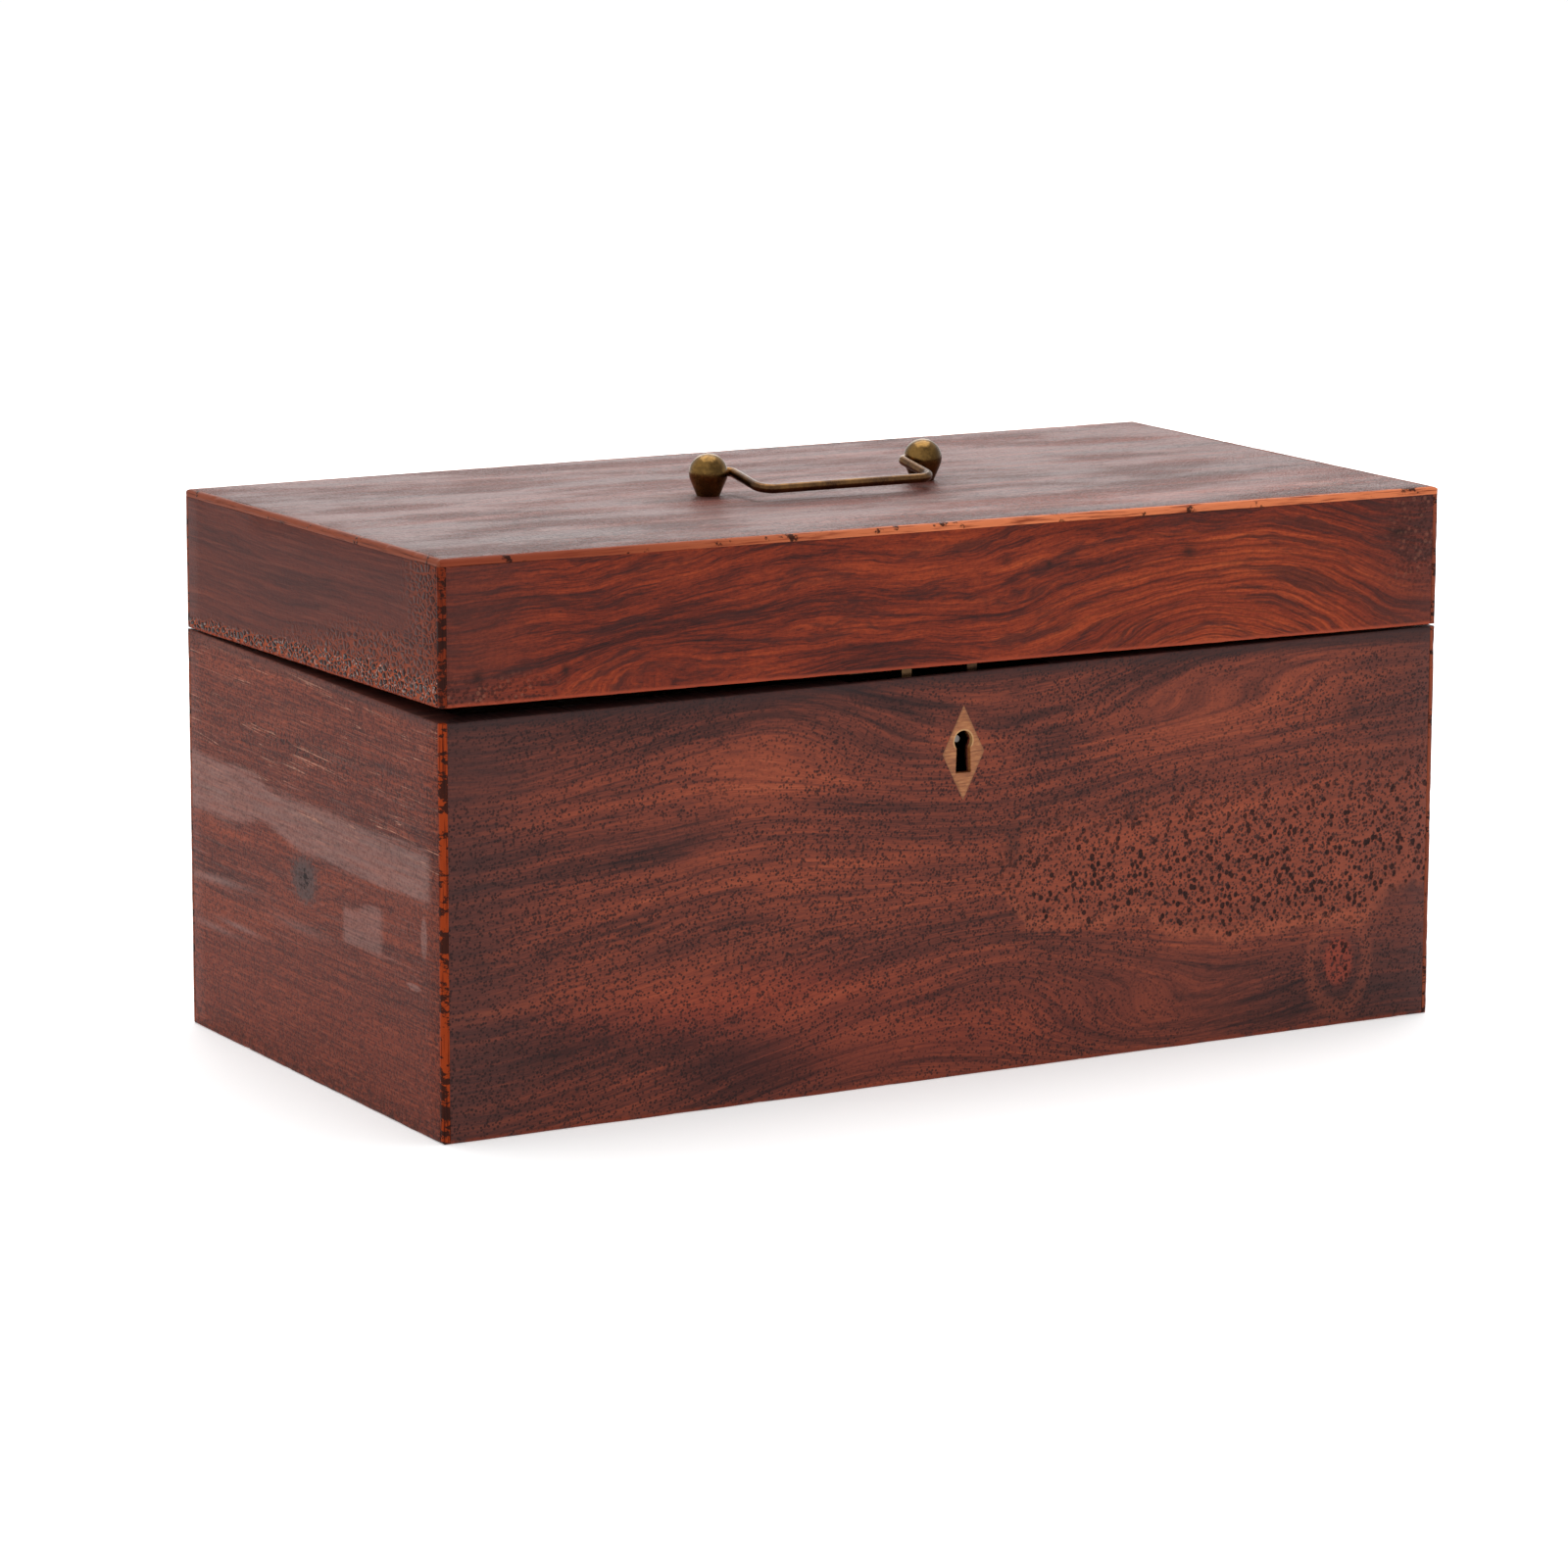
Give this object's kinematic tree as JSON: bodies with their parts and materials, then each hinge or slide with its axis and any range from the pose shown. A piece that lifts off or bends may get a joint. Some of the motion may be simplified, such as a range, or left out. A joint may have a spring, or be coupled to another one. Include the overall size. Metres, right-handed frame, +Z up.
{
  "type": "tea caddy",
  "caption": "Rectangular wooden tea caddy with a hinged lid, corner stringing, a keyhole escutcheon, a link-plate lock and a brass swing handle.",
  "frame": {"origin": "centre of the base, on the surface that the caddy stands on", "axes": "+X right along the front, front faces -Y, +Z up"},
  "size_m": [0.305, 0.158, 0.1601],
  "materials": {
    "case_wood": "old shellac, worn and crazed",
    "string_wood": "worn shellac",
    "inner_wood": "thin shellac",
    "boxwood": "satin",
    "aged_brass": "dark patina",
    "steel": "dull",
    "tin_foil": "creased foil",
    "bowl_glass": "clear blown glass"
  },
  "bodies": {
    "carcass": {"back_board": "case_wood", "base_board": "inner_wood", "bowl_shelf": "inner_wood", "bowl_shelf_ledges": "inner_wood", "corner_string_back_left": "string_wood", "corner_string_back_right": "string_wood", "corner_string_front_left": "string_wood", "corner_string_front_right": "string_wood", "escutcheon": "boxwood", "front_board": "case_wood", "hinge_body_leaf_left": "aged_brass", "hinge_body_leaf_right": "aged_brass", "hinge_body_screws": "aged_brass", "hinge_pin_left": "steel", "hinge_pin_right": "steel", "left_board": "case_wood", "lid_ledges_left": "inner_wood", "lid_ledges_right": "inner_wood", "lock_back_plate": "aged_brass", "lock_case": "aged_brass", "lock_drill_pin": "steel", "lock_screws": "aged_brass", "lock_spring": "steel", "partition_left": "inner_wood", "partition_right": "inner_wood", "right_board": "case_wood", "tea_foil_left": "tin_foil", "tea_foil_right": "tin_foil"},
    "lid": {"handle_nuts": "aged_brass", "handle_post_left": "aged_brass", "handle_post_right": "aged_brass", "hinge_lid_leaf_left": "aged_brass", "hinge_lid_leaf_right": "aged_brass", "hinge_lid_screws": "aged_brass", "lid_back_board": "case_wood", "lid_corner_string_back_left": "string_wood", "lid_corner_string_back_right": "string_wood", "lid_corner_string_front_left": "string_wood", "lid_corner_string_front_right": "string_wood", "lid_front_board": "case_wood", "lid_left_board": "case_wood", "lid_right_board": "case_wood", "lid_top_board": "case_wood", "lid_top_string_back": "string_wood", "lid_top_string_front": "string_wood", "lid_top_string_left": "string_wood", "lid_top_string_right": "string_wood", "link_plate_screws": "aged_brass", "lock_link_plate": "aged_brass"},
    "bail": {"bail_handle": "aged_brass"},
    "bolt": {"lock_bolt": "steel"},
    "inner_lid_left": {"inner_lid_left_board": "inner_wood", "inner_lid_left_knob": "inner_wood"},
    "inner_lid_right": {"inner_lid_right_board": "inner_wood", "inner_lid_right_knob": "inner_wood"},
    "mixing_bowl": {"mixing_bowl": "bowl_glass"}
  },
  "joints": [
    {"name": "lid_hinge", "type": "hinge", "parent": "carcass", "child": "lid", "pos_m": [0, 0.0785, 0.10905], "axis": [-1, 0, 0], "range_deg": [0, 100]},
    {"name": "bail_pivot", "type": "hinge", "parent": "lid", "child": "bail", "pos_m": [-0.00095, -0.0025, 0.15456], "axis": [-1, 0, 0.0081], "range_deg": [0, 195]},
    {"name": "lock_bolt_slide", "type": "slide", "parent": "carcass", "child": "bolt", "axis": [1, 0, 0], "range_m": [0, 0.0045]},
    {"name": "inner_lid_left_lift", "type": "slide", "parent": "carcass", "child": "inner_lid_left", "axis": [0, 0, 1], "range_m": [0, 0.02]},
    {"name": "inner_lid_right_lift", "type": "slide", "parent": "carcass", "child": "inner_lid_right", "axis": [0, 0, 1], "range_m": [0, 0.02]},
    {"name": "bowl_lift", "type": "slide", "parent": "carcass", "child": "mixing_bowl", "axis": [0, 0, 1], "range_m": [0, 0.03]}
  ]
}
